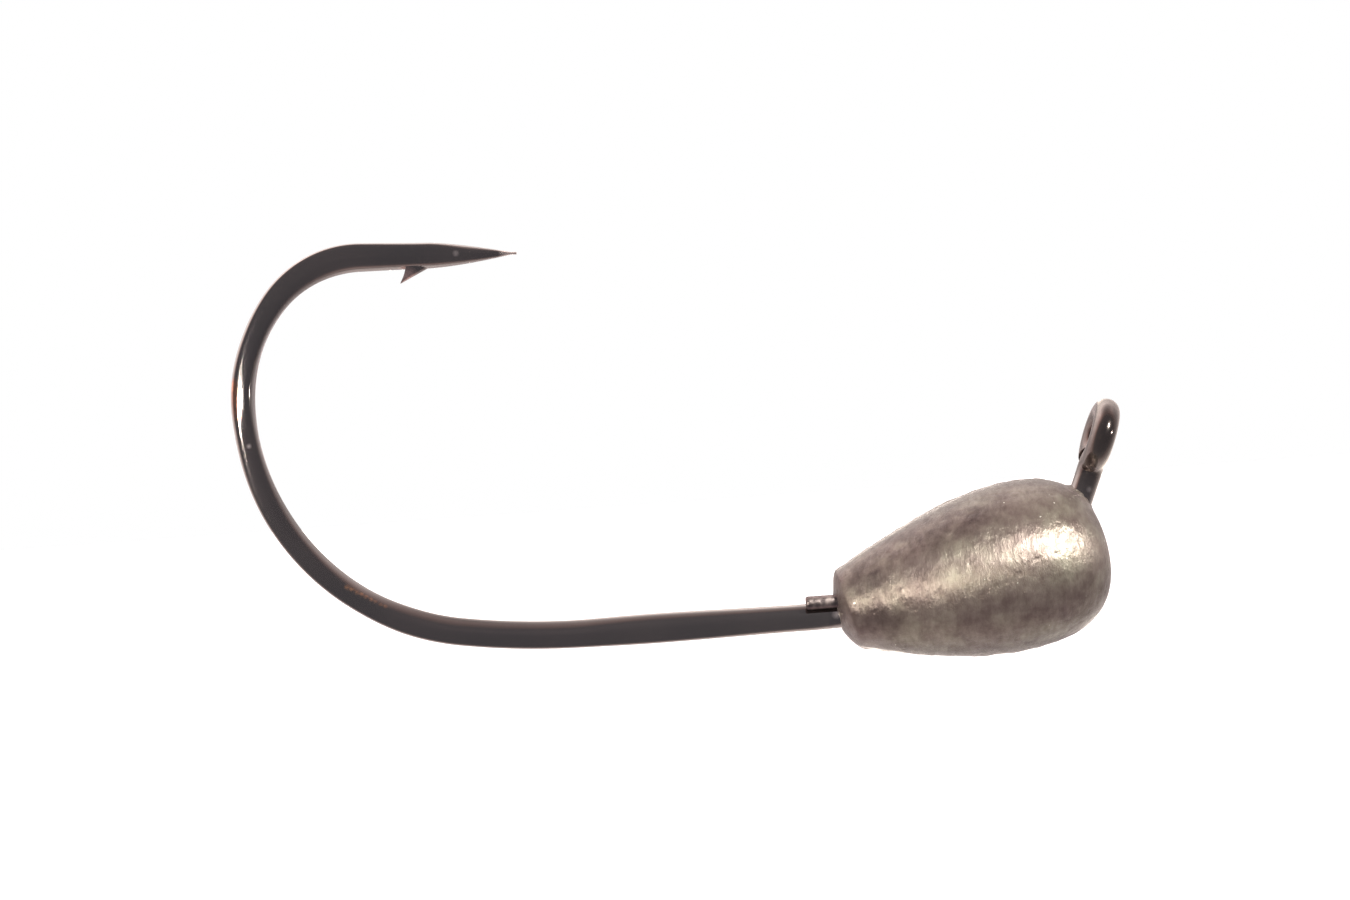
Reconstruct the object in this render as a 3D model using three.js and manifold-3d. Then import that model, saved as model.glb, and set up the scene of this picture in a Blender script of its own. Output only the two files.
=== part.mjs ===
// Jig head: a lead teardrop cast round a one-piece wire hook, with a short keeper pin beside the shank.
//
// Millimetres. The origin is the middle of the line eye's hole. +X runs along the shank towards the nose,
// +Z is up, the side of the line eye and of the point, and the hook lies in the plane y = 0.
import * as THREE from 'three';
import { mergeVertices } from 'three/addons/utils/BufferGeometryUtils.js';
import Module from 'manifold-3d';

const wasm = await Module();
wasm.setup();

// ---- driving dimensions --------------------------------------------------------------------------

const WIRE = 1.12; // diameter of the hook's wire
const CLEARANCE = 0.05; // gap between the lead and what it is cast round

const EYE_RADIUS = 1.12; // middle of the hole to the middle of the wire
const EYE_LEAN = 70.2; // degrees from the shank to the plane of the eye
const EYE_END = 31; // degrees round the eye from the leg to the cut end of the wire
const NECK_RADIUS = 0.8; // bend that swings the leg out into the eye

const LEG_LEAN = 67.3; // degrees from the shank to the leg
const LEG_BEND = 1.5; // radius of the bend from leg to shank, inside the lead
const SHANK_Z = -7.014; // height of the shank's middle line
const BEND_X = -22.9; // where the straight shank ends

// The bend, from the shank to the point: radius and turn in degrees of each arc in turn.
const BEND_ARCS = [
  [34.1, 9.4],
  [10.56, 80.1],
  [7.04, 40.8],
  [4.85, 52.1],
];
const POINT_LENGTH = 6.86; // straight length from the end of the bend to the tip
const TAPER_LENGTH = 3.9; // the part of it that narrows to the tip
const TAPER_POWER = 1.5; // over 1, so the sides of the point are slightly full
const TIP_SHARE = 0.06; // width left at the very tip, as a share of the wire's width

// In-plane width of the forged wire: distance past BEND_X along the wire, and width there.
const FORGING = [
  [-11.5, 1.12],
  [-9.5, 1.17],
  [-2.6, 1.3],
  [1.0, 1.21],
  [7.5, 1.2],
  [10.5, 1.09],
  [15.0, 1.09],
  [19.5, 1.01],
  [23.0, 1.02],
  [28.8, 1.27],
  [32.8, 1.12],
];

// The barb's root lies just inside the wire.
const BARB = { frontX: -28.4, backX: -29.73, rootZ: 9.596, rootHalfWidth: 0.28 };
const BARB_TIP = { x: -30.05, z: 8.84, halfWidth: 0.093 };

const HEAD = {
  x: -3.8, // a point on the head's own axis, near the middle of the bulb
  z: -5.38,
  tilt: 10.2, // degrees that the axis rises towards the nose
  widest: -0.2, // distances along the axis from that point
  nose: 3.81,
  rim: -7.82,
  land: -8.3,
  widestRadius: 3.73,
  rimRadius: 1.81,
  landRadius: 0.85, // flat end, round the shank
  rimRound: [0.25, 0.22], // how far the corner between rim and land is rounded, outwards and along
  rimSlope: 0.4, // rise of the side where it leaves the rim
  rimLean: 4.0, // degrees that the rim leans from square to the axis
  leanReach: 3, // how far along the side the lean dies away
  noseFullness: 0.69, // 0.552 would be a quarter of an ellipse
};

const PIN = { radius: 0.29, y: -0.66, z: -6.36, endX: -13.36, buriedX: -9.6 };

// Facets: sides of each round section, and steps along each stretch.
const SECTION_SIDES = 16;
const HEAD_SIDES = 44;
const PIN_SIDES = 16;
const BEND_STEP = 0.55; // longest step round the bend
const WIRE_STEPS = { eye: 26, neck: 6, leg: 6, legBend: 8, shank: 10, point: 4, taper: 9 };
const HEAD_STEPS = { rim: 4, side: 14, front: 14 };

const LEAD = new THREE.MeshStandardMaterial({ color: 0x94897e, roughness: 0.5, metalness: 0.7 });
const HOOK_WIRE = new THREE.MeshStandardMaterial({ color: 0x3c3436, roughness: 0.3, metalness: 0.9 });
const PIN_WIRE = new THREE.MeshStandardMaterial({ color: 0x6e5f59, roughness: 0.45, metalness: 0.8 });

// ---- solids --------------------------------------------------------------------------------------

const rad = THREE.MathUtils.degToRad;

function toManifold(geometry) {
  const bare = geometry.clone();
  bare.deleteAttribute('normal');
  bare.deleteAttribute('uv');
  const merged = mergeVertices(bare, 1e-4);
  const mesh = new wasm.Mesh({
    numProp: 3,
    vertProperties: new Float32Array(merged.attributes.position.array),
    triVerts: new Uint32Array(merged.index.array),
  });
  mesh.merge();
  return new wasm.Manifold(mesh);
}

function toGeometry(manifold) {
  const mesh = manifold.getMesh();
  const geometry = new THREE.BufferGeometry();
  geometry.setAttribute('position', new THREE.BufferAttribute(mesh.vertProperties, 3));
  geometry.setIndex(new THREE.BufferAttribute(mesh.triVerts, 1));
  geometry.computeVertexNormals();
  return geometry;
}

// A closed solid from rings of points, each ring running the same way round, with flat ends.
function skin(rings) {
  const sides = rings[0].length;
  const points = rings.flat();
  const faces = [];
  for (let i = 0; i + 1 < rings.length; i += 1) {
    for (let j = 0; j < sides; j += 1) {
      const k = (j + 1) % sides;
      const a = i * sides + j;
      const b = i * sides + k;
      faces.push(a, b, b + sides, a, b + sides, a + sides);
    }
  }
  const last = (rings.length - 1) * sides;
  for (let j = 1; j + 1 < sides; j += 1) {
    faces.push(0, j + 1, j);
    faces.push(last, last + j, last + j + 1);
  }
  const geometry = new THREE.BufferGeometry().setFromPoints(points);
  geometry.setIndex(faces);
  return geometry;
}

// ---- the hook's middle line ----------------------------------------------------------------------

// Walks a flat path of lines and arcs and keeps a stop at each step: place, heading and distance.
class Walk {
  constructor(a, b, heading) {
    this.a = a;
    this.b = b;
    this.heading = heading;
    this.distance = 0;
    this.stops = [];
    this.keep();
  }

  keep() {
    this.stops.push({ a: this.a, b: this.b, heading: this.heading, distance: this.distance });
  }

  line(length, steps) {
    for (let i = 0; i < steps; i += 1) {
      this.a += (Math.cos(this.heading) * length) / steps;
      this.b += (Math.sin(this.heading) * length) / steps;
      this.distance += length / steps;
      this.keep();
    }
    return this;
  }

  // A positive turn goes anticlockwise.
  arc(radius, turn, steps) {
    const side = Math.sign(turn) * radius;
    const step = rad(turn) / steps;
    for (let i = 0; i < steps; i += 1) {
      this.a += side * (Math.sin(this.heading + step) - Math.sin(this.heading));
      this.b += side * (Math.cos(this.heading) - Math.cos(this.heading + step));
      this.heading += step;
      this.distance += Math.abs(side * step);
      this.keep();
    }
    return this;
  }
}

// The eye's plane holds the Y axis and EYE_UP, the way from the leg through the middle of the hole.
const EYE_UP = new THREE.Vector3(Math.cos(rad(EYE_LEAN)), 0, Math.sin(rad(EYE_LEAN)));
const EYE_AXIS = new THREE.Vector3(Math.sin(rad(EYE_LEAN)), 0, -Math.cos(rad(EYE_LEAN)));

// From the middle of the hole down to where the neck meets the leg.
const EYE_REACH = Math.sqrt(EYE_RADIUS ** 2 + 2 * EYE_RADIUS * NECK_RADIUS);

// The eye starts at the wire's cut end, goes right round, and swings through the neck onto the leg.
function eyeStops() {
  const y = new THREE.Vector3(0, 1, 0);
  const neckTurn = THREE.MathUtils.radToDeg(Math.asin(EYE_REACH / (EYE_RADIUS + NECK_RADIUS)));
  const end = rad(EYE_END);
  const walk = new Walk(-EYE_RADIUS * Math.cos(end), EYE_RADIUS * Math.sin(end), rad(90 - EYE_END));
  walk.arc(EYE_RADIUS, -(270 + neckTurn - EYE_END), WIRE_STEPS.eye);
  walk.arc(NECK_RADIUS, neckTurn, WIRE_STEPS.neck);
  return walk.stops.map(({ a, b, heading }) => ({
    place: EYE_UP.clone().multiplyScalar(a).addScaledVector(y, b),
    wide: EYE_AXIS,
    thick: y.clone().multiplyScalar(Math.cos(heading)).addScaledVector(EYE_UP, -Math.sin(heading)),
    width: WIRE,
  }));
}

// Leg, shank, bend and point, all in the plane y = 0.
function shankStops() {
  const top = EYE_UP.clone().multiplyScalar(-EYE_REACH);
  const drop = top.z - SHANK_Z;
  const setback = LEG_BEND * Math.tan(rad(LEG_LEAN / 2));
  const legLength = drop / Math.sin(rad(LEG_LEAN)) - setback;
  const cornerX = top.x - drop / Math.tan(rad(LEG_LEAN));
  const walk = new Walk(top.x, top.z, rad(180 + LEG_LEAN));
  walk.line(legLength, WIRE_STEPS.leg);
  walk.arc(LEG_BEND, -LEG_LEAN, WIRE_STEPS.legBend);
  walk.line(cornerX - setback - BEND_X, WIRE_STEPS.shank);
  const bendStart = walk.distance;
  const bendStop = walk.stops.length - 1;
  for (const [radius, turn] of BEND_ARCS) {
    walk.arc(radius, -turn, Math.ceil((rad(turn) * radius) / BEND_STEP));
  }
  walk.line(POINT_LENGTH - TAPER_LENGTH, WIRE_STEPS.point);
  const taperStart = walk.distance;
  walk.line(TAPER_LENGTH, WIRE_STEPS.taper);
  return {
    bendStop,
    stops: walk.stops.slice(1).map(({ a, b, heading, distance }) => ({
      place: new THREE.Vector3(a, 0, b),
      wide: new THREE.Vector3(-Math.sin(heading), 0, Math.cos(heading)),
      thick: new THREE.Vector3(0, -1, 0),
      width: forgedWidth(distance - bendStart),
      taper: taperAt((distance - taperStart) / TAPER_LENGTH),
    })),
  };
}

function forgedWidth(distance) {
  if (distance <= FORGING[0][0]) return WIRE;
  for (let i = 1; i < FORGING.length; i += 1) {
    const [at, width] = FORGING[i];
    const [before, widthBefore] = FORGING[i - 1];
    if (distance <= at) {
      const share = THREE.MathUtils.smoothstep(distance, before, at);
      return THREE.MathUtils.lerp(widthBefore, width, share);
    }
  }
  return FORGING.at(-1)[1];
}

function taperAt(share) {
  return share <= 0 ? 1 : Math.max(1 - share ** TAPER_POWER, TIP_SHARE);
}

// Forging widens the wire in the hook's plane and thins it across. `extra` grows every radius.
function wireRings(stops, extra) {
  return stops.map(({ place, wide, thick, width, taper = 1 }) => {
    const thickness = Math.min(WIRE, WIRE ** 2 / width);
    const ring = [];
    for (let j = 0; j < SECTION_SIDES; j += 1) {
      const angle = (j * 2 * Math.PI) / SECTION_SIDES;
      const a = ((width / 2) * taper + extra) * Math.cos(angle);
      const b = ((thickness / 2) * taper + extra) * Math.sin(angle);
      ring.push(place.clone().addScaledVector(wide, a).addScaledVector(thick, b));
    }
    return ring;
  });
}

// The barb is a sliver raised from the underside of the point, with its edge towards the bend.
function barbSolid() {
  const corners = [
    [BARB.frontX, BARB.rootZ, BARB.rootHalfWidth],
    [BARB.backX, BARB.rootZ, BARB.rootHalfWidth],
    [BARB_TIP.x, BARB_TIP.z, BARB_TIP.halfWidth],
  ];
  const side = (sign) => corners.map(([x, z, half]) => new THREE.Vector3(x, sign * half, z));
  return toManifold(skin([side(1), side(-1)]));
}

// ---- the three pieces ----------------------------------------------------------------------------

const shank = shankStops();

function makeHook() {
  const wire = toManifold(skin(wireRings([...eyeStops(), ...shank.stops], 0)));
  return toGeometry(wire.add(barbSolid()));
}

function makePin(extra) {
  const length = PIN.buriedX - PIN.endX;
  const pin = new THREE.CylinderGeometry(PIN.radius + extra, PIN.radius + extra, length, PIN_SIDES);
  pin.rotateZ(Math.PI / 2);
  pin.translate(PIN.endX + length / 2, PIN.y, PIN.z);
  return pin;
}

// The lead is turned about its own axis, its rim is leaned, and the wire and the pin are cut from it.
function makeHead() {
  const { widest, widestRadius, rim, rimRadius, rimSlope, rimRound, nose, noseFullness } = HEAD;
  const reach = (widest - rim) / 3;
  const side = new THREE.CubicBezierCurve(
    new THREE.Vector2(rimRadius, rim),
    new THREE.Vector2(rimRadius + rimSlope * reach, rim + reach),
    new THREE.Vector2(widestRadius, widest - reach),
    new THREE.Vector2(widestRadius, widest),
  );
  const front = new THREE.CubicBezierCurve(
    new THREE.Vector2(widestRadius, widest),
    new THREE.Vector2(widestRadius, widest + noseFullness * (nose - widest)),
    new THREE.Vector2(noseFullness * widestRadius, nose),
    new THREE.Vector2(0, nose),
  );
  const end = new THREE.QuadraticBezierCurve(
    new THREE.Vector2(HEAD.landRadius, HEAD.land),
    new THREE.Vector2(rimRadius - rimRound[0], HEAD.land + rimRound[1]),
    new THREE.Vector2(rimRadius, rim),
  );
  const profile = [new THREE.Vector2(0, HEAD.land)];
  profile.push(...end.getPoints(HEAD_STEPS.rim));
  profile.push(...side.getPoints(HEAD_STEPS.side).slice(1));
  profile.push(...front.getPoints(HEAD_STEPS.front).slice(1));
  const lead = new THREE.LatheGeometry(profile, HEAD_SIDES);

  // The lathe turns about Y. Its Y becomes the head's axis along X, and its X becomes up.
  lead.applyMatrix4(new THREE.Matrix4().set(0, 1, 0, 0, 0, 0, 1, 0, 1, 0, 0, 0, 0, 0, 0, 1));
  const place = lead.attributes.position;
  for (let i = 0; i < place.count; i += 1) {
    const along = place.getX(i);
    const outward = Math.hypot(place.getY(i), place.getZ(i));
    const onRim = THREE.MathUtils.smoothstep(-along, -rim - HEAD.leanReach, -rim) *
      THREE.MathUtils.smoothstep(outward, HEAD.landRadius, rimRadius);
    place.setX(i, along - place.getZ(i) * Math.tan(rad(HEAD.rimLean)) * onRim);
  }
  lead.rotateY(-rad(HEAD.tilt));
  lead.translate(HEAD.x, 0, HEAD.z);

  const wire = toManifold(skin(wireRings(shank.stops.slice(0, shank.bendStop), CLEARANCE)));
  return toGeometry(toManifold(lead).subtract(wire).subtract(toManifold(makePin(CLEARANCE))));
}

function part(name, geometry, material) {
  const mesh = new THREE.Mesh(geometry, material);
  mesh.name = name;
  return mesh;
}

const jigHead = new THREE.Group();
jigHead.add(part('hook', makeHook(), HOOK_WIRE));
jigHead.add(part('head', makeHead(), LEAD));
jigHead.add(part('keeper_pin', makePin(0), PIN_WIRE));

export default jigHead;
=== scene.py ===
# Jig head: the looks of a lead teardrop cast round a one-piece wire hook, with a short keeper pin.
# Blender units are metres. The frame's origin is the middle of the line eye's hole, +X runs along the
# shank towards the nose, +Z is up, and the hook lies in the plane y = 0.
import math

import bpy
from mathutils import Matrix, Vector, noise


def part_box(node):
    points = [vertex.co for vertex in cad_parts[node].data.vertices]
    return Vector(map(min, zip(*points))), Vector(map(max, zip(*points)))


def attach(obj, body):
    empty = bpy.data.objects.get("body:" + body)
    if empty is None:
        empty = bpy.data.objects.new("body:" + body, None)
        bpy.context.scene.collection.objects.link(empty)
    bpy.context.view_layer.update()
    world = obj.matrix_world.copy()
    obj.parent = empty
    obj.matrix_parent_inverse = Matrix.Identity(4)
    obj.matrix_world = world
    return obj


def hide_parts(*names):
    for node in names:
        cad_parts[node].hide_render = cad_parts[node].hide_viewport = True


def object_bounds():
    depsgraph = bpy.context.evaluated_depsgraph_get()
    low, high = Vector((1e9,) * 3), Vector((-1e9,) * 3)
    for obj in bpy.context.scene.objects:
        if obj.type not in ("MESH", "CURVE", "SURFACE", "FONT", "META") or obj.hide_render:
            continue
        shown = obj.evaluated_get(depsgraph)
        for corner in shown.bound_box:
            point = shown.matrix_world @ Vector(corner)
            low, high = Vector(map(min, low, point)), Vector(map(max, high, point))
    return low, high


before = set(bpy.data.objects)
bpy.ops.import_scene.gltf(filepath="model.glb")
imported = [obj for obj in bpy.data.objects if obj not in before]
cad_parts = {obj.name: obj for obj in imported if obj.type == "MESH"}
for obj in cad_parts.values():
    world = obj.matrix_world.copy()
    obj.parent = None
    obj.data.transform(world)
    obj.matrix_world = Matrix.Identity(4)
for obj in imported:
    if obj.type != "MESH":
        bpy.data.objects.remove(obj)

CAD_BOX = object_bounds()
HOOK_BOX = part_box("hook")
HEAD_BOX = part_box("head")
PIN_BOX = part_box("keeper_pin")
MM = 0.001

# ---- the hook, in millimetres --------------------------------------------------------------------

WIRE = 1.117  # diameter of the drawn wire
EYE_RADIUS = 1.12  # middle of the hole to the middle of the wire
EYE_LEAN = math.radians(70.2)  # from the shank to the plane of the eye
EYE_END = math.radians(31)  # round the eye from the leg to the cut end
NECK_RADIUS = 0.8  # bend that swings the leg out into the eye
LEG_LEAN = math.radians(67.3)  # from the shank to the leg
LEG_BEND = 1.5  # radius of the bend inside the lead
SHANK_Z = -7.014  # height of the shank's middle line
BEND_X = -22.9  # where the straight shank ends
BEND_ARCS = [(34.1, 9.4), (10.56, 80.1), (7.04, 40.8), (4.85, 52.1)]  # radius, degrees
POINT_LENGTH = 6.86  # straight length from the end of the bend to the tip
TAPER_LENGTH = 3.9  # the part of it that narrows to the tip
TAPER_POWER = 1.5  # over 1, so the sides of the point are slightly full
TIP_SHARE = 0.10  # width left at the very tip, as a share of the wire's width

# Distance past BEND_X along the wire, width in the hook's plane, and how square the wire's outer and
# inner edges are: 2 is round, more is boxier, less is more pointed.
FORGING = [
    (-11.5, 1.12, 2.0, 2.0),
    (-9.5, 1.17, 3.4, 1.9),
    (-2.6, 1.30, 5.2, 1.55),
    (1.0, 1.21, 5.6, 1.32),
    (7.5, 1.20, 5.6, 1.24),
    (10.5, 1.09, 5.6, 1.26),
    (15.0, 1.09, 5.0, 1.6),
    (19.5, 0.99, 3.0, 3.6),
    (23.0, 1.00, 3.0, 3.6),
    (28.8, 1.255, 6.0, 1.6),
    (32.8, 1.12, 4.2, 1.9),
]
ROLL = math.radians(8)  # how far the forged sides are rolled outwards, where the bend stands upright
ROLL_AT = (18.8, 21.0, 23.6)  # distances past BEND_X: where the roll starts, peaks and ends
FORGED_THICKNESS = 0.98  # thickness of the forged part, across the hook's plane
CUT_END_DOME = 0.05  # how far the wire's cut end is rounded off

# Sides of the wire's section, and the longest step along each stretch.
SECTION_SIDES = 56
EYE_STEP = 0.08
NECK_STEP = 0.06
SHANK_STEP = 0.15
BEND_STEP = 0.12
TAPER_STEP = 0.08

BARB_TIP = (-30.05, 8.84)
BARB_TIP_LENGTH = 0.03
BARB_ROOT_Z = 9.6  # just inside the wire
BARB_FRONT_X = -28.40
BARB_BACK_X = -29.73
BARB_HALF_WIDTH = 0.30  # at the root
BARB_NARROWING = 0.75  # share of that width lost by the tip
BARB_HOLLOW = 0.05  # how far the back face is hollowed, halfway down
BARB_LEVELS = 14
BARB_SIDES = 20


class Walk:
    """A flat path of lines and arcs, kept as stops: place, heading and distance."""

    def __init__(self, a, b, heading):
        self.a, self.b, self.heading, self.distance = a, b, heading, 0.0
        self.stops = [(a, b, heading, 0.0)]

    def line(self, length, step):
        count = math.ceil(length / step)
        for _ in range(count):
            self.a += math.cos(self.heading) * length / count
            self.b += math.sin(self.heading) * length / count
            self.distance += length / count
            self.stops.append((self.a, self.b, self.heading, self.distance))

    def arc(self, radius, turn, step):
        """turn is in radians, positive anticlockwise."""
        count = math.ceil(radius * abs(turn) / step)
        side = math.copysign(radius, turn)
        for _ in range(count):
            ahead = self.heading + turn / count
            self.a += side * (math.sin(ahead) - math.sin(self.heading))
            self.b += side * (math.cos(self.heading) - math.cos(ahead))
            self.heading = ahead
            self.distance += radius * abs(turn) / count
            self.stops.append((self.a, self.b, self.heading, self.distance))


def smooth(x, low, high):
    t = min(max((x - low) / (high - low), 0.0), 1.0)
    return t * t * (3 - 2 * t)


def forging(distance):
    """Width and the two squarenesses of the wire there."""
    if distance <= FORGING[0][0]:
        return FORGING[0][1:]
    for (at, *before), (to, *after) in zip(FORGING, FORGING[1:]):
        if distance <= to:
            t = smooth(distance, at, to)
            return [a + t * (b - a) for a, b in zip(before, after)]
    return FORGING[-1][1:]


def eye_reach():
    """From the middle of the hole down to where the neck meets the leg."""
    return math.sqrt(EYE_RADIUS ** 2 + 2 * EYE_RADIUS * NECK_RADIUS)


def eye_stops():
    """The eye, from the wire's cut end right round to the top of the leg.

    Each stop is the place, the directions of the width and the thickness, half of each, and how square the
    outer and inner edges are.
    """
    up = Vector((math.cos(EYE_LEAN), 0, math.sin(EYE_LEAN)))
    across = Vector((math.sin(EYE_LEAN), 0, -math.cos(EYE_LEAN)))
    side = Vector((0, 1, 0))
    neck_turn = math.asin(eye_reach() / (EYE_RADIUS + NECK_RADIUS))
    start_a = -EYE_RADIUS * math.cos(EYE_END)
    start_b = EYE_RADIUS * math.sin(EYE_END)
    walk = Walk(start_a, start_b, math.pi / 2 - EYE_END)
    walk.arc(EYE_RADIUS, -(1.5 * math.pi + neck_turn - EYE_END), EYE_STEP)
    walk.arc(NECK_RADIUS, neck_turn, NECK_STEP)
    for a, b, heading, _ in walk.stops:
        thick = side * math.cos(heading) - up * math.sin(heading)
        yield up * a + side * b, across, thick, WIRE / 2, WIRE / 2, 2.0, 2.0


def shank_stops():
    """Leg, shank, bend and point, as stops like the eye's."""
    top_x = -eye_reach() * math.cos(EYE_LEAN)
    top_z = -eye_reach() * math.sin(EYE_LEAN)
    drop = top_z - SHANK_Z
    setback = LEG_BEND * math.tan(LEG_LEAN / 2)
    corner_x = top_x - drop / math.tan(LEG_LEAN)
    walk = Walk(top_x, top_z, math.pi + LEG_LEAN)
    walk.line(drop / math.sin(LEG_LEAN) - setback, SHANK_STEP)
    walk.arc(LEG_BEND, -LEG_LEAN, SHANK_STEP)
    walk.line(corner_x - setback - BEND_X, SHANK_STEP)
    bend_start = walk.distance
    for radius, degrees in BEND_ARCS:
        walk.arc(radius, -math.radians(degrees), BEND_STEP)
    walk.line(POINT_LENGTH - TAPER_LENGTH, BEND_STEP)
    taper_start = walk.distance
    walk.line(TAPER_LENGTH, TAPER_STEP)
    roll_start, roll_peak, roll_end = ROLL_AT
    for a, b, heading, distance in walk.stops[1:]:
        along = distance - bend_start
        width, outer, inner = forging(along)
        share = max((distance - taper_start) / TAPER_LENGTH, 0.0)
        taper = max(1 - share ** TAPER_POWER, TIP_SHARE)
        flatness = min(outer - 2.0, 1.0)
        thickness = WIRE + flatness * (FORGED_THICKNESS - WIRE)
        rounding = smooth(share, 0.0, 0.5)
        outer += (2.0 - outer) * rounding
        inner += (2.0 - inner) * rounding
        outward = Vector((-math.sin(heading), 0, math.cos(heading)))
        front = Vector((0, -1, 0))
        roll = ROLL * smooth(along, roll_start, roll_peak) * (1 - smooth(along, roll_peak, roll_end))
        wide = outward * math.cos(roll) - front * math.sin(roll)
        thick = front * math.cos(roll) + outward * math.sin(roll)
        yield Vector((a, 0, b)), wide, thick, width / 2 * taper, thickness / 2 * taper, outer, inner


def rounded(angle, outer, inner):
    """A point of the section: two halves of superellipses."""
    c, s = math.cos(angle), math.sin(angle)
    power = 2.0 / (outer if c > 0 else inner)
    return math.copysign(abs(c) ** power, c), math.copysign(abs(s) ** power, s)


def wire_rings():
    """Rings of points round the whole wire, from its cut end to its tip."""
    rings = []
    for place, wide, thick, half_width, half_thickness, outer, inner in [*eye_stops(), *shank_stops()]:
        ring = []
        for j in range(SECTION_SIDES):
            a, b = rounded(2 * math.pi * j / SECTION_SIDES, outer, inner)
            ring.append((place + wide * (a * half_width) + thick * (b * half_thickness)) * MM)
        rings.append(ring)
    return rings


def domed_end(ring, inward, height, steps=3):
    """Extra rings that round off a flat end. inward points from the end back along the wire."""
    middle = sum(ring, Vector()) / len(ring)
    out = []
    for i in range(steps, 0, -1):
        t = i / steps
        shrink = 1 - height * t * t / (ring[0] - middle).length
        out.append([middle + (p - middle) * shrink - inward * height * (1 - (1 - t) ** 2) for p in ring])
    return out


def skin(name, rings):
    """A closed mesh through rings of points, with a fan on each end."""
    sides = len(rings[0])
    points = [p for ring in rings for p in ring]
    faces = []
    for i in range(len(rings) - 1):
        for j in range(sides):
            a, b = i * sides + j, i * sides + (j + 1) % sides
            faces.append((a, b, b + sides, a + sides))
    last = (len(rings) - 1) * sides
    first_middle, last_middle = len(points), len(points) + 1
    points.append(sum(rings[0], Vector()) / sides)
    points.append(sum(rings[-1], Vector()) / sides)
    for j in range(sides):
        k = (j + 1) % sides
        faces.append((first_middle, k, j))
        faces.append((last_middle, last + j, last + k))
    mesh = bpy.data.meshes.new(name)
    mesh.from_pydata(points, [], faces)
    mesh.validate()
    piece = bpy.data.objects.new(name, mesh)
    bpy.context.scene.collection.objects.link(piece)
    return piece


def shade(piece, sharp_degrees=35):
    piece.data.polygons.foreach_set("use_smooth", [True] * len(piece.data.polygons))
    piece.data.set_sharp_from_angle(angle=math.radians(sharp_degrees))


def apply_modifier(piece, modifier):
    bpy.context.view_layer.objects.active = piece
    piece.select_set(True)
    bpy.ops.object.modifier_apply(modifier=modifier.name)
    piece.select_set(False)


def make_barb():
    """A sliver raised from the underside of the point: round in front, cut flat behind."""
    tip_x, tip_z = BARB_TIP
    rings = []
    for i in range(BARB_LEVELS + 1):
        t = i / BARB_LEVELS
        z = BARB_ROOT_Z + t * (tip_z - BARB_ROOT_Z)
        front = BARB_FRONT_X + t * (tip_x + BARB_TIP_LENGTH - BARB_FRONT_X)
        back = BARB_BACK_X + t * (tip_x - BARB_BACK_X) + BARB_HOLLOW * math.sin(math.pi * t)
        half = BARB_HALF_WIDTH * (1 - BARB_NARROWING * t ** 1.6)
        ring = []
        for j in range(BARB_SIDES):
            angle = math.pi * (j / (BARB_SIDES - 1) - 0.5)
            x = back + (front - back) * math.cos(angle) ** 0.8
            ring.append(Vector((x, half * math.sin(angle), z)) * MM)
        rings.append(ring)
    return skin("barb_tool", rings)


def make_hook():
    rings = wire_rings()
    start = (rings[1][0] - rings[0][0]).normalized()
    rings = domed_end(rings[0], start, CUT_END_DOME * MM) + rings
    hook = skin("hook_wire_fine", rings)
    barb = make_barb()
    union = hook.modifiers.new("barb", "BOOLEAN")
    union.operation = "UNION"
    union.solver = "EXACT"
    union.object = barb
    apply_modifier(hook, union)
    bpy.data.objects.remove(barb)
    shade(hook)
    return hook


# ---- the lead head, in millimetres ----------------------------------------------------------------

HEAD_X, HEAD_Z = -3.8, -5.38  # a point on the head's own axis, near the middle of the bulb
HEAD_TILT = math.radians(10.2)  # that axis rises towards the nose
WIDEST, NOSE, RIM, LAND = -0.2, 3.81, -7.82, -8.3  # distances along the axis from that point
WIDEST_RADIUS, RIM_RADIUS, LAND_RADIUS = 3.73, 1.81, 0.85  # the land is the flat end round the shank
RIM_ROUND = (0.25, 0.22)  # how far the corner between rim and land is rounded, outwards and along
RIM_SLOPE = 0.4  # rise of the side where it leaves the rim
RIM_LEAN = math.radians(4.0)  # how far the rim leans from square to the axis
LEAN_REACH = 3  # how far along the side the lean dies away
NOSE_FULLNESS = 0.69  # 0.552 would be a quarter of an ellipse

# Relief on the cast surface. Each wave is its height, how many to a millimetre, and its place in the noise.
WAVES = [(0.022, 0.9, (3, 1, 7)), (0.009, 3.1, (11, 5, 2))]
PIT_DEPTH = 0.07  # for a noise level of 1 below PIT_LEVEL
PIT_LEVEL = -0.40
SEAM_HEIGHT = 0.035  # of the mould's parting line
SEAM_WIDTH = 0.06
FLASH_HEIGHT, FLASH_AT = 0.09, -7.2  # extra flash under the rear end, and where along the axis
LEG_RISE = 0.16  # how far the lead is drawn up at the leg
LEG_RISE_REACH = 0.16  # how far from the leg that dies away
LEG_RISE_WAY = Vector((0.35, 0, 0.94))
INSET = 0.052  # the smooth shape is drawn this much smaller, to leave room for the seam and the waves

# Steps along each stretch of the profile, and degrees between the points round it.
LAND_STEPS, RIM_STEPS, SIDE_STEPS, FRONT_STEPS = 10, 20, 110, 80
AROUND_DEGREES = 1.25
SEAM_DEGREES = 0.3  # near the seam
SEAM_POINTS = 12  # points this close on each side of it


def bezier(points, t):
    """A point of a Bezier curve of any degree."""
    while len(points) > 1:
        points = [p + (q - p) * t for p, q in zip(points, points[1:])]
    return points[0]


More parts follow.
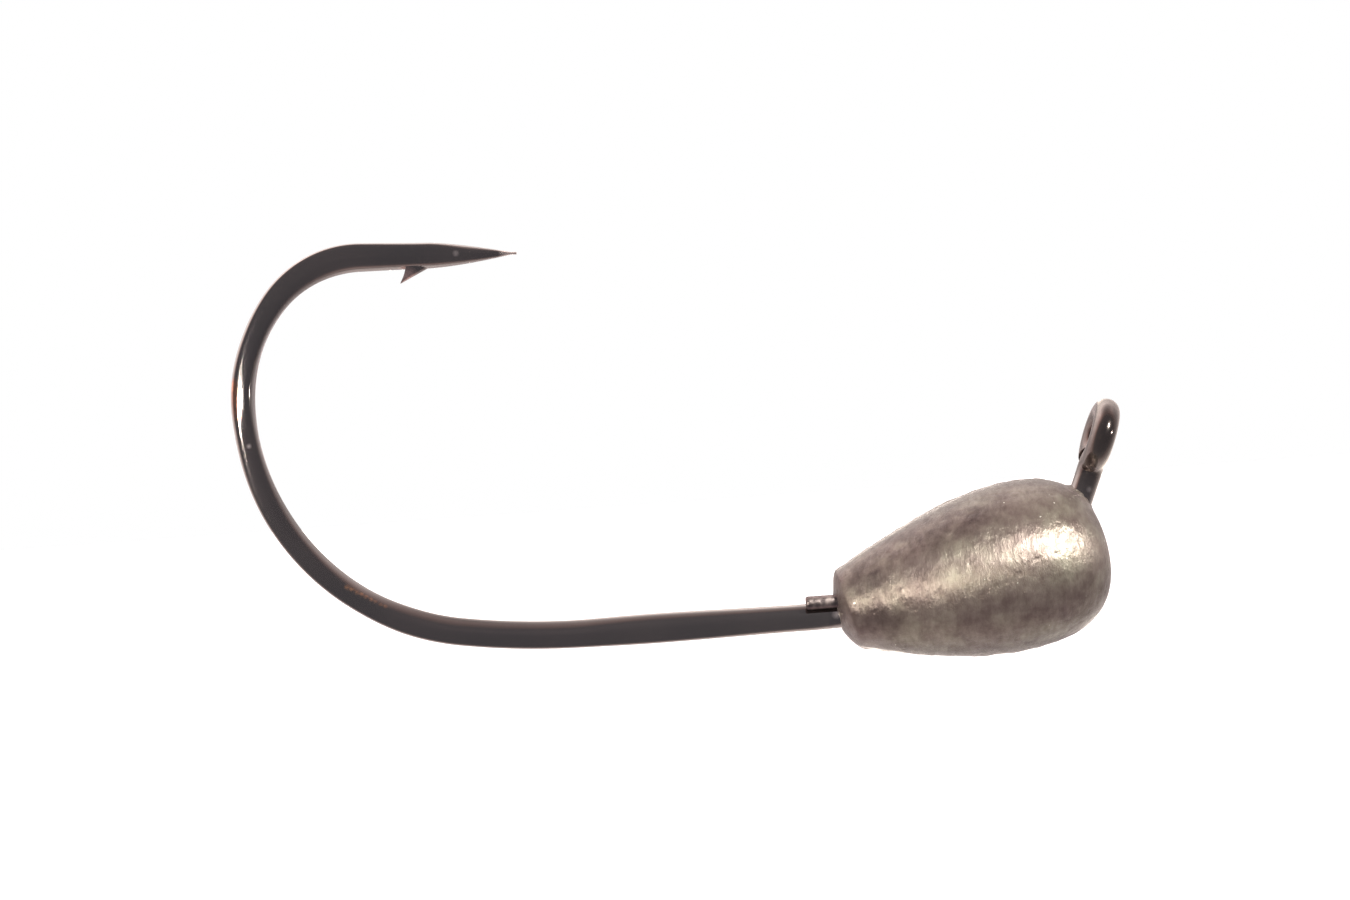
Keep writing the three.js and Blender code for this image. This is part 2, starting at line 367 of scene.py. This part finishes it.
def head_profile():
    """(radius, distance along the axis) from the middle of the rear land to the nose."""
    reach = (WIDEST - RIM) / 3
    rim = [
        Vector((LAND_RADIUS, LAND)),
        Vector((RIM_RADIUS - RIM_ROUND[0], LAND + RIM_ROUND[1])),
        Vector((RIM_RADIUS, RIM)),
    ]
    side = [
        Vector((RIM_RADIUS, RIM)),
        Vector((RIM_RADIUS + RIM_SLOPE * reach, RIM + reach)),
        Vector((WIDEST_RADIUS, WIDEST - reach)),
        Vector((WIDEST_RADIUS, WIDEST)),
    ]
    front = [
        Vector((WIDEST_RADIUS, WIDEST)),
        Vector((WIDEST_RADIUS, WIDEST + NOSE_FULLNESS * (NOSE - WIDEST))),
        Vector((NOSE_FULLNESS * WIDEST_RADIUS, NOSE)),
        Vector((0.0, NOSE)),
    ]
    profile = [Vector((LAND_RADIUS * i / LAND_STEPS, LAND)) for i in range(1, LAND_STEPS)]
    for curve, steps in ((rim, RIM_STEPS), (side, SIDE_STEPS), (front, FRONT_STEPS)):
        profile += [bezier(curve, i / steps) for i in range(steps)]
    return profile


def head_angles():
    """Angles round the axis from the top, closer together at the mould's seam."""
    coarse = [math.radians(i * AROUND_DEGREES) for i in range(round(360 / AROUND_DEGREES))]
    near_seam = range(-SEAM_POINTS, SEAM_POINTS + 1)
    fine = [math.radians(pole + i * SEAM_DEGREES) for pole in (0, 180) for i in near_seam]
    return sorted({round(a % (2 * math.pi), 5) for a in coarse + fine})


def cast_surface(place, off_seam, along):
    """How far the cast surface stands off the smooth shape: casting waves, pits and the seam."""
    waves = sum(height * noise.noise(place * pace + Vector(at)) for height, pace, at in WAVES)
    pits = min(noise.noise(place * 4.6 + Vector((5, 9, 4))) - PIT_LEVEL, 0.0) * PIT_DEPTH
    ragged = 0.6 + 0.7 * noise.noise(Vector((along * 2.6, 4.0, 1.5)))
    height = SEAM_HEIGHT
    if place.z < 0:
        height += FLASH_HEIGHT * math.exp(-((along - FLASH_AT) ** 2))
    seam = height * max(ragged, 0.15) * math.exp(-((off_seam / SEAM_WIDTH) ** 2))
    return waves + pits + seam


def leg_rise(place):
    """How far the lead is drawn up round the leg of the eye where it comes out."""
    along = Vector((math.cos(LEG_LEAN), 0, math.sin(LEG_LEAN)))
    top = Vector((-math.cos(EYE_LEAN), 0, -math.sin(EYE_LEAN))) * eye_reach()
    off = place - top
    if off.dot(along) > 0 or place.z < HEAD_Z:
        return 0.0
    gap = (off - along * off.dot(along)).length - WIRE / 2
    uneven = 0.7 + 0.6 * noise.noise(place * 5)
    return LEG_RISE * uneven * math.exp(-max(gap, 0.0) / LEG_RISE_REACH)


def make_head():
    turn = Matrix.Rotation(-HEAD_TILT, 3, "Y")
    base = Vector((HEAD_X, 0, HEAD_Z))
    rings = []
    for radius, along in head_profile():
        ring = []
        for angle in head_angles():
            y, z = radius * math.sin(angle), radius * math.cos(angle)
            on_rim = smooth(-along, -RIM - LEAN_REACH, -RIM) * smooth(radius, LAND_RADIUS, RIM_RADIUS)
            place = Vector((along - z * math.tan(RIM_LEAN) * on_rim, y, z))
            outward = Vector((0, math.sin(angle), math.cos(angle)))
            fade = smooth(radius, 0.0, 1.2)
            place += outward * (fade * (cast_surface(place, abs(y), along) - INSET))
            place = base + turn @ place
            ring.append((place + LEG_RISE_WAY * leg_rise(place)) * MM)
        rings.append(ring)
    head = skin("lead_head_fine", rings)
    shade(head, 60)
    return head


# ---- the keeper pin, in millimetres; its place and size are the CAD's -------------------------------

PIN_RINGS = 60
PIN_SIDES = 36
PIN_CHAMFER = 0.05  # depth of the worn edge round the free end
PIN_CHAMFER_LENGTH = 0.06
PIN_ROUGHNESS = 0.010


def make_pin():
    low, high = PIN_BOX
    radius = (high.z - low.z) / 2
    middle_y, middle_z = (low.y + high.y) / 2, (low.z + high.z) / 2
    length = high.x - low.x
    rings = []
    for i in range(PIN_RINGS):
        t = i / (PIN_RINGS - 1)
        x = low.x + t * length
        chamfer = PIN_CHAMFER * MM * (1 - min(t * length / (PIN_CHAMFER_LENGTH * MM), 1.0)) ** 2
        ring = []
        for j in range(PIN_SIDES):
            angle = 2 * math.pi * j / PIN_SIDES
            at = Vector((t * 30, math.cos(angle) * 2, math.sin(angle) * 2))
            r = radius - chamfer + PIN_ROUGHNESS * MM * noise.noise(at)
            ring.append(Vector((x, middle_y + r * math.cos(angle), middle_z + r * math.sin(angle))))
        rings.append(ring)
    pin = skin("keeper_pin_fine", rings)
    shade(pin, 50)
    return pin


# ---- materials -----------------------------------------------------------------------------------


def grey(level):
    return (level, level, level)


def add_ramp(tree, value, stops):
    """A colour ramp through stops, each a position and a colour."""
    node = tree.nodes.new("ShaderNodeValToRGB")
    tree.links.new(value, node.inputs["Fac"])
    elements = node.color_ramp.elements
    while len(elements) < len(stops):
        elements.new(0.5)
    for element, (at, colour) in zip(elements, stops):
        element.position = at
        element.color = (*colour, 1.0)
    return node.outputs["Color"]


class Nodes:
    """A small helper that adds nodes to a material and links them."""

    def __init__(self, name):
        self.material = bpy.data.materials.new(name)
        self.material.use_nodes = True
        self.tree = self.material.node_tree
        self.shader = self.tree.nodes["Principled BSDF"]
        self.place = self.add("ShaderNodeTexCoord").outputs["Object"]

    def add(self, kind, **settings):
        node = self.tree.nodes.new(kind)
        for key, value in settings.items():
            setattr(node, key, value)
        return node

    def link(self, output, socket):
        self.tree.links.new(output, socket)

    def moved(self, scale=(1, 1, 1), rotation=(0, 0, 0)):
        node = self.add("ShaderNodeMapping")
        self.link(self.place, node.inputs["Vector"])
        node.inputs["Scale"].default_value = scale
        node.inputs["Rotation"].default_value = rotation
        return node.outputs["Vector"]

    def noise(self, scale, detail=4.0, rough=0.55, vector=None):
        node = self.add("ShaderNodeTexNoise")
        self.link(vector or self.place, node.inputs["Vector"])
        node.inputs["Scale"].default_value = scale
        node.inputs["Detail"].default_value = detail
        node.inputs["Roughness"].default_value = rough
        return node.outputs["Fac"]

    def ramp(self, value, stops):
        return add_ramp(self.tree, value, stops)

    def near(self, place, reach, soft):
        """1 within reach of a place on the object, falling to 0 over the distance soft. In millimetres."""
        node = self.add("ShaderNodeVectorMath", operation="DISTANCE")
        self.link(self.place, node.inputs[0])
        node.inputs[1].default_value = [c * MM for c in place]
        return self.range(node.outputs["Value"], reach * MM, (reach + soft) * MM, 1.0, 0.0)

    def range(self, value, low, high, to_low, to_high):
        """Low to high becomes to_low to to_high, and stays there outside them."""
        node = self.add("ShaderNodeMapRange")
        self.link(value, node.inputs["Value"])
        node.inputs["From Min"].default_value = low
        node.inputs["From Max"].default_value = high
        node.inputs["To Min"].default_value = to_low
        node.inputs["To Max"].default_value = to_high
        return node.outputs["Result"]

    def mix(self, share, a, b, mode="MIX"):
        """a with a share of b. Inputs 6 and 7 and output 2 are the node's colour sockets."""
        node = self.add("ShaderNodeMix", data_type="RGBA", blend_type=mode)
        if isinstance(share, float):
            node.inputs["Factor"].default_value = share
        else:
            self.link(share, node.inputs["Factor"])
        self.link(a, node.inputs[6])
        self.link(b, node.inputs[7])
        return node.outputs[2]

    def bump(self, height, distance, strength=1.0, below=None):
        node = self.add("ShaderNodeBump")
        node.inputs["Strength"].default_value = strength
        node.inputs["Distance"].default_value = distance
        self.link(height, node.inputs["Height"])
        if below:
            self.link(below, node.inputs["Normal"])
        return node.outputs["Normal"]


# Marks on the lead, in millimetres: places along the flash at the lower rear rim, where a pale painted
# highlight is laid on it, and dark patches with how far each reaches. The five dark patches on the near side
# (y < 0) are painted shade, standing for the dark reflections above the highlight band and at the rear of the
# head; the two on the far side are plain darker patches.
FLASH_GLINTS = [(-11.0 + 0.24 * i, -0.2, -8.45 - 0.045 * i) for i in range(8)]
DARK_PATCHES = [
    ((-11.0, -1.6, -5.5), 1.2),
    ((-10.4, -1.8, -5.0), 1.3),
    ((-10.1, -1.8, -6.8), 1.6),
    ((-8.4, -2.2, -3.9), 2.0),
    ((-6.3, -2.4, -3.3), 2.2),
    ((-9.0, 1.9, -6.6), 2.2),
    ((-4.6, 2.6, -3.4), 2.6),
]


def lead_material():
    n = Nodes("bare_cast_lead")
    across = n.moved(scale=(1.0, 0.38, 0.38), rotation=(0, HEAD_TILT, 0))
    patches = n.noise(380.0, 5.0, 0.62)
    mottle = n.noise(1500.0, 5.0, 0.65)
    streaks = n.noise(4200.0, 6.0, 0.66, across)
    grain = n.noise(12000.0, 3.0, 0.6)
    tone = n.ramp(patches, [
        (0.32, (0.108, 0.078, 0.076)),
        (0.50, (0.140, 0.112, 0.100)),
        (0.68, (0.174, 0.153, 0.127)),
    ])
    blotches = n.ramp(mottle, [(0.30, (0.66, 0.61, 0.61)), (0.62, (1.0, 1.0, 1.0))])
    streak_tone = n.ramp(streaks, [(0.30, (0.70, 0.67, 0.66)), (0.70, (1.0, 1.0, 1.0))])
    colour = n.mix(1.0, n.mix(1.0, tone, blotches, "MULTIPLY"), streak_tone, "MULTIPLY")
    # darker copy of the lead's colour for the dark patches: painted shade on the near side
    darkened = n.ramp(mottle, [(0.35, (0.42, 0.38, 0.42)), (0.65, (0.70, 0.66, 0.68))])
    for at, reach in DARK_PATCHES:
        colour = n.mix(n.near(at, 0.0, reach), colour, n.mix(1.0, colour, darkened, "MULTIPLY"))
    scratched = n.noise(3400.0, 1.0, 0.5, n.moved(rotation=(0.4, 0.9, 0.2)))
    specks = n.range(scratched, 0.78, 0.80, 0.0, 0.6)
    bright = n.ramp(grain, [(0.3, (0.52, 0.49, 0.44)), (0.7, (0.70, 0.67, 0.60))])
    colour = n.mix(specks, colour, bright)
    # pale colour painted along the rim flash: a painted highlight on the flash
    flash = n.ramp(mottle, [(0.42, (0.30, 0.26, 0.25)), (0.55, (0.85, 0.81, 0.76))])
    for at in FLASH_GLINTS:
        colour = n.mix(n.near(at, 0.10, 0.26), colour, flash)
    n.link(colour, n.shader.inputs["Base Color"])
    dull_rear = n.near(FLASH_GLINTS[1], 0.4, 1.4)
    n.link(n.range(dull_rear, 0.0, 1.0, 0.73, 0.0), n.shader.inputs["Metallic"])
    n.shader.inputs["Anisotropic"].default_value = 0.66
    n.shader.inputs["Sheen Weight"].default_value = 0.25
    n.shader.inputs["Sheen Roughness"].default_value = 0.3
    n.shader.inputs["Sheen Tint"].default_value = (1.0, 0.86, 0.84, 1.0)
    n.shader.inputs["Anisotropic Rotation"].default_value = 0.25
    ring = n.add("ShaderNodeTangent", direction_type="RADIAL", axis="X")
    n.link(ring.outputs["Tangent"], n.shader.inputs["Tangent"])
    n.link(n.range(streaks, 0.3, 0.7, 0.50, 0.34), n.shader.inputs["Roughness"])
    coarse = n.bump(streaks, 0.00006, 0.8)
    fine = n.bump(grain, 0.00002, 0.5, coarse)
    n.link(fine, n.shader.inputs["Normal"])
    return n.material


# Marks on the wire, in millimetres. Each pale spot has how far it reaches. The first (on the point), the
# second (on the shank by the pin) and the fourth (on the bend) are painted highlights, small glints; the
# third, on the leg, is a pale spot.
POINT_TIP = (-24.9, 0.0, 9.86)
PALE_SPOTS = [
    ((-27.5, -0.45, 9.96), 0.18),
    ((-12.05, -0.5, -6.94), 0.24),
    ((-0.67, -0.5, -2.29), 0.17),
    ((-37.1, -0.5, 2.2), 0.15),
]
# where a lighter brown is painted on the barb's face, standing for light on it (painted light)
BARB_FACE = (-29.75, -0.2, 9.05)
HIGHLIGHT_FRINGE = [(-37.48 - 0.02 * i, -0.38, 3.55 + 0.24 * i) for i in range(7)]  # painted orange fringe of the bend's highlight, along its outer edge
ORANGE_STREAK = [(-33.25 + 0.2 * i, -0.45, -4.22 - 0.115 * i) for i in range(9)]  # a painted orange reflection streak on the lower bend


def hook_material():
    n = Nodes("black_nickel_wire")
    film = n.noise(260.0, 3.0, 0.5)
    specks = n.noise(5200.0, 4.0, 0.6)
    colour = n.ramp(film, [(0.35, (0.125, 0.116, 0.118)), (0.65, (0.150, 0.134, 0.133))])
    # pale metal colour: bare wear at the tip, and painted glints on the pale spots
    bare_and_glint = n.ramp(specks, [(0.3, (0.55, 0.48, 0.47)), (0.7, (0.85, 0.78, 0.74))])
    orange_streak_colour = n.ramp(specks, [(0.36, (0.20, 0.13, 0.11)), (0.58, (1.0, 0.55, 0.30))])
    fringe_orange = n.ramp(specks, [(0.3, (0.20, 0.085, 0.05)), (0.7, (0.42, 0.19, 0.11))])
    # the tip is paler and rougher: worn bare metal, painted paler as well to stand for its highlight
    tip_wear_and_highlight = n.near(POINT_TIP, 0.42, 0.40)
    colour = n.mix(tip_wear_and_highlight, colour, bare_and_glint)
    # pale spots: painted glints, and one pale spot on the leg
    for at, reach in PALE_SPOTS:
        colour = n.mix(n.near(at, 0.0, reach), colour, bare_and_glint)
    # lighter brown painted on the barb's face: painted light
    barb_painted_light = n.ramp(specks, [(0.3, (0.38, 0.25, 0.24)), (0.7, (0.72, 0.52, 0.48))])
    colour = n.mix(n.near(BARB_FACE, 0.1, 0.5), colour, barb_painted_light)
    # painted orange reflection streak along the lower bend
    for at in ORANGE_STREAK:
        colour = n.mix(n.near(at, 0.0, 0.18), colour, orange_streak_colour)
    # painted orange fringe beside the bend's highlight
    for at in HIGHLIGHT_FRINGE:
        colour = n.mix(n.near(at, 0.05, 0.22), colour, fringe_orange)
    # the wire round the eye is painted darker (painted shade) and given less coat, to hold down the light it
    # catches from above
    painted_eye_shade = n.ramp(specks, [(0.3, (0.062, 0.048, 0.046)), (0.7, (0.085, 0.064, 0.060))])
    at_eye = n.near((0.0, 0.0, 0.0), 1.4, 1.6)
    colour = n.mix(at_eye, colour, painted_eye_shade)
    n.link(n.range(at_eye, 0.0, 1.0, 1.0, 0.15), n.shader.inputs["Coat Weight"])
    n.link(colour, n.shader.inputs["Base Color"])
    n.shader.inputs["Metallic"].default_value = 1.0
    n.shader.inputs["Coat Roughness"].default_value = 0.12
    n.shader.inputs["Coat IOR"].default_value = 1.5
    n.shader.inputs["Coat Tint"].default_value = (1.0, 0.93, 0.89, 1.0)
    n.shader.inputs["Sheen Weight"].default_value = 0.55
    n.shader.inputs["Sheen Roughness"].default_value = 0.4
    n.shader.inputs["Sheen Tint"].default_value = (1.0, 0.82, 0.76, 1.0)
    polish = n.range(specks, 0.35, 0.7, 0.11, 0.14)
    scuffed = n.range(specks, 0.35, 0.7, 0.55, 0.70)
    n.link(n.mix(tip_wear_and_highlight, polish, scuffed), n.shader.inputs["Roughness"])
    n.link(n.bump(film, 0.000002, 0.25), n.shader.inputs["Normal"])
    return n.material


PIN_GLINT = (-12.25, -0.25, -6.42)  # a pale spot painted where the pin leaves the head, standing for a glint there (painted highlight), in millimetres


def pin_material():
    n = Nodes("pin_wire_painted_top_light")
    smears = n.noise(3200.0, 4.0, 0.6)
    low, high = PIN_BOX
    split = n.add("ShaderNodeSeparateXYZ")
    n.link(n.place, split.inputs["Vector"])
    height = high.z - low.z
    # painted light: the pin's upper part takes the lighter colour, standing for light from above; the
    # underside keeps the dark wire colour
    painted_top_light = n.range(split.outputs["Z"], low.z + 0.42 * height, low.z + 0.72 * height, 0.0, 1.0)
    wire = n.ramp(smears, [(0.40, (0.070, 0.055, 0.058)), (0.66, (0.13, 0.10, 0.10))])
    # lighter tone for the pin's top: painted light
    lead = n.ramp(smears, [(0.40, (0.09, 0.068, 0.07)), (0.60, (0.24, 0.195, 0.19))])
    glint_share = n.near(PIN_GLINT, 0.09, 0.06)
    glint_colour = n.ramp(smears, [(0.40, (0.62, 0.56, 0.52)), (0.60, (0.85, 0.80, 0.74))])
    n.link(n.mix(glint_share, n.mix(painted_top_light, wire, lead), glint_colour), n.shader.inputs["Base Color"])
    n.shader.inputs["Metallic"].default_value = 0.95
    n.shader.inputs["Specular Tint"].default_value = (0.42, 0.34, 0.33, 1.0)
    n.link(n.range(smears, 0.35, 0.65, 0.32, 0.50), n.shader.inputs["Roughness"])
    n.link(n.bump(smears, 0.00003, 0.7), n.shader.inputs["Normal"])
    return n.material


def floor_material():
    n = Nodes("pale_floor")
    tone = n.noise(6.0, 2.0)
    n.link(n.ramp(tone, [(0.3, grey(0.88)), (0.7, grey(0.90))]), n.shader.inputs["Base Color"])
    n.shader.inputs["Roughness"].default_value = 0.9
    n.shader.inputs["Emission Color"].default_value = (1.0, 1.0, 1.0, 1.0)
    n.shader.inputs["Emission Strength"].default_value = 0.45
    return n.material


# ---- the studio, in metres -----------------------------------------------------------------------

VIEW_DISTANCE = 0.123
VIEW_LENS = 74.88  # millimetres, on a 36 mm sensor
VIEW_ROLL = math.radians(4.1)  # the shank rises to the right by this much
AIM = (-0.134, 0.0, -0.014)  # millimetres from the middle of the object to where the camera points

FLOOR_DROP = 0.03  # below the object
FLOOR_REACH = 2
FLOOR_THICKNESS = 0.02

# The studio's glow from front to back across the hook's plane, from below to above, and from left to right.
# The three are multiplied.
GLOW_DEPTH = [
    (0.0, (0.02, 0.02, 0.02)),
    (0.30, (0.03, 0.028, 0.028)),
    (0.37, (0.22, 0.145, 0.118)),
    (0.45, (0.60, 0.45, 0.40)),
    (0.57, (1.0, 0.91, 0.86)),
    (0.76, (0.90, 0.83, 0.79)),
    (0.90, (0.20, 0.185, 0.175)),
    (1.0, (0.06, 0.055, 0.05)),
]
GLOW_HEIGHT = [
    (0.0, grey(0.30)),
    (0.30, grey(0.40)),
    (0.62, grey(0.65)),
    (0.91, grey(1.0)),
    (1.0, grey(0.2)),
]
GLOW_SIDEWAYS = [
    (0.0, grey(0.8)),
    (0.25, grey(1.0)),
    (0.46, grey(1.0)),
    (0.66, grey(0.50)),
    (1.0, grey(0.12)),
]
GLOW_STRENGTH = 4.8
ROOM = (0.240, 0.238, 0.262)  # what the rest of the room adds from every side

LAMP_DISTANCE = 0.5
WARM = (1.0, 0.95, 0.87)
BEND_LAMP_RISE = 0.0032  # from the middle of the object up to the highlight on the bend
REAR_SPOT_INSET = 0.0035  # from the head's rear end to what the rear spot is aimed at
REAR_SPOT_DROP = 0.0007  # and how far below the head's middle that is


def make_camera():
    low, high = CAD_BOX
    data = bpy.data.cameras.new("camera")
    data.lens = VIEW_LENS
    data.sensor_width = 36.0
    data.clip_start = 0.005
    data.clip_end = 10.0
    camera = bpy.data.objects.new("camera", data)
    bpy.context.scene.collection.objects.link(camera)
    right = Vector((math.cos(VIEW_ROLL), 0, -math.sin(VIEW_ROLL)))
    up = Vector((math.sin(VIEW_ROLL), 0, math.cos(VIEW_ROLL)))
    back = Vector((0, -1, 0))
    target = Vector(((low.x + high.x) / 2, 0, (low.z + high.z) / 2)) + Vector(AIM) * MM
    turn = Matrix((right, up, back)).transposed().to_4x4()
    camera.matrix_world = Matrix.Translation(target + back * VIEW_DISTANCE) @ turn
    bpy.context.scene.camera = camera


def make_floor():
    low, _ = CAD_BOX
    corners = [(-FLOOR_REACH, -FLOOR_REACH), (FLOOR_REACH, -FLOOR_REACH)]
    corners += [(FLOOR_REACH, FLOOR_REACH), (-FLOOR_REACH, FLOOR_REACH)]
    floor = skin("floor", [
        [Vector((x, y, low.z - FLOOR_DROP - depth)) for x, y in corners]
        for depth in (FLOOR_THICKNESS, 0.0)
    ])
    floor.data.materials.append(floor_material())
    floor.visible_glossy = False


def make_world():
    """White to look at. It lights the object softly from all round the hook's plane, most from above."""
    world = bpy.data.worlds.new("studio")
    bpy.context.scene.world = world
    world.use_nodes = True
    tree = world.node_tree
    tree.nodes.clear()
    add = tree.nodes.new
    link = tree.links.new
    place = add("ShaderNodeTexCoord")
    split = add("ShaderNodeSeparateXYZ")
    link(place.outputs["Generated"], split.inputs["Vector"])
    glow = None
    for axis, stops in (("Y", GLOW_DEPTH), ("Z", GLOW_HEIGHT), ("X", GLOW_SIDEWAYS)):
        share = add("ShaderNodeMapRange")
        share.inputs["From Min"].default_value = -1.0
        link(split.outputs[axis], share.inputs["Value"])
        level = add_ramp(tree, share.outputs["Result"], stops)
        if glow is None:
            glow = level
            continue
        product = add("ShaderNodeMix")
        product.data_type = "RGBA"
        product.blend_type = "MULTIPLY"
        product.inputs["Factor"].default_value = 1.0
        link(glow, product.inputs[6])
        link(level, product.inputs[7])
        glow = product.outputs[2]
    soft = add("ShaderNodeBackground")
    soft.inputs["Strength"].default_value = GLOW_STRENGTH
    link(glow, soft.inputs["Color"])
    room = add("ShaderNodeBackground")
    room.inputs["Color"].default_value = (*ROOM, 1)
    lit = add("ShaderNodeAddShader")
    link(soft.outputs[0], lit.inputs[0])
    link(room.outputs[0], lit.inputs[1])
    plain = add("ShaderNodeBackground")
    plain.inputs["Color"].default_value = (1, 1, 1, 1)
    path = add("ShaderNodeLightPath")
    mix = add("ShaderNodeMixShader")
    link(path.outputs["Is Camera Ray"], mix.inputs["Fac"])
    link(lit.outputs[0], mix.inputs[1])
    link(plain.outputs[0], mix.inputs[2])
    out = add("ShaderNodeOutputWorld")
    link(mix.outputs[0], out.inputs["Surface"])


def hang(name, data, target, toward, distance):
    """Put a light at a distance from target in the direction toward, shining back at it."""
    light = bpy.data.objects.new(name, data)
    bpy.context.scene.collection.objects.link(light)
    direction = Vector(toward).normalized()
    light.location = target + direction * distance
    light.rotation_mode = "QUATERNION"
    light.rotation_quaternion = direction.to_track_quat("Z", "Y")
    light.visible_camera = False


def area_light(name, target, toward, distance, width, height, power, colour):
    """A soft light."""
    data = bpy.data.lights.new(name, "AREA")
    data.energy = power
    data.color = colour
    data.shape = "ELLIPSE"
    data.size = width
    data.size_y = height
    hang(name, data, target, toward, distance)
    return data


def spot_light(name, target, toward, cone, power, colour, radius):
    """A small hard light, masked down to a cone that only just covers its target."""
    data = bpy.data.lights.new(name, "SPOT")
    data.energy = power
    data.color = colour
    data.spot_size = math.radians(cone)
    data.spot_blend = 0.6
    data.shadow_soft_size = radius
    hang(name, data, target, toward, LAMP_DISTANCE)


def make_lights():
    middle = (CAD_BOX[0] + CAD_BOX[1]) / 2
    head_middle = (HEAD_BOX[0] + HEAD_BOX[1]) / 2
    head_rear = Vector((HEAD_BOX[0].x + REAR_SPOT_INSET, 0, head_middle.z - REAR_SPOT_DROP))
    bend_left = Vector((HOOK_BOX[0].x, 0, middle.z + BEND_LAMP_RISE))
    spot_light("key", head_middle, (0.50, -0.74, 0.42), 3.4, 52.0, (0.97, 1.0, 0.90), 0.012)
    spot_light("rear_spot", head_rear, (-0.49, -0.87, -0.01), 1.4, 18.5, (1.0, 1.0, 0.84), 0.005)
    bend_lamp = area_light("bend_lamp", bend_left, (-0.42, -0.91, 0.035), 0.12, 0.018, 0.004, 0.0003, WARM)
    bend_lamp.spread = math.radians(14)
    area_light("eye_lamp", middle, (0.91, -0.38, -0.08), LAMP_DISTANCE, 0.05, 0.02, 0.4, WARM)


# ---- the whole ------------------------------------------------------------------------------------


def dress(piece, material, node):
    piece.data.materials.clear()
    piece.data.materials.append(material)
    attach(piece, "root")
    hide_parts(node)


make_camera()
make_world()
make_floor()
make_lights()
dress(make_hook(), hook_material(), "hook")
dress(make_head(), lead_material(), "head")
dress(make_pin(), pin_material(), "keeper_pin")

bpy.context.scene.view_settings.view_transform = "Standard"
bpy.context.scene.view_settings.look = "None"
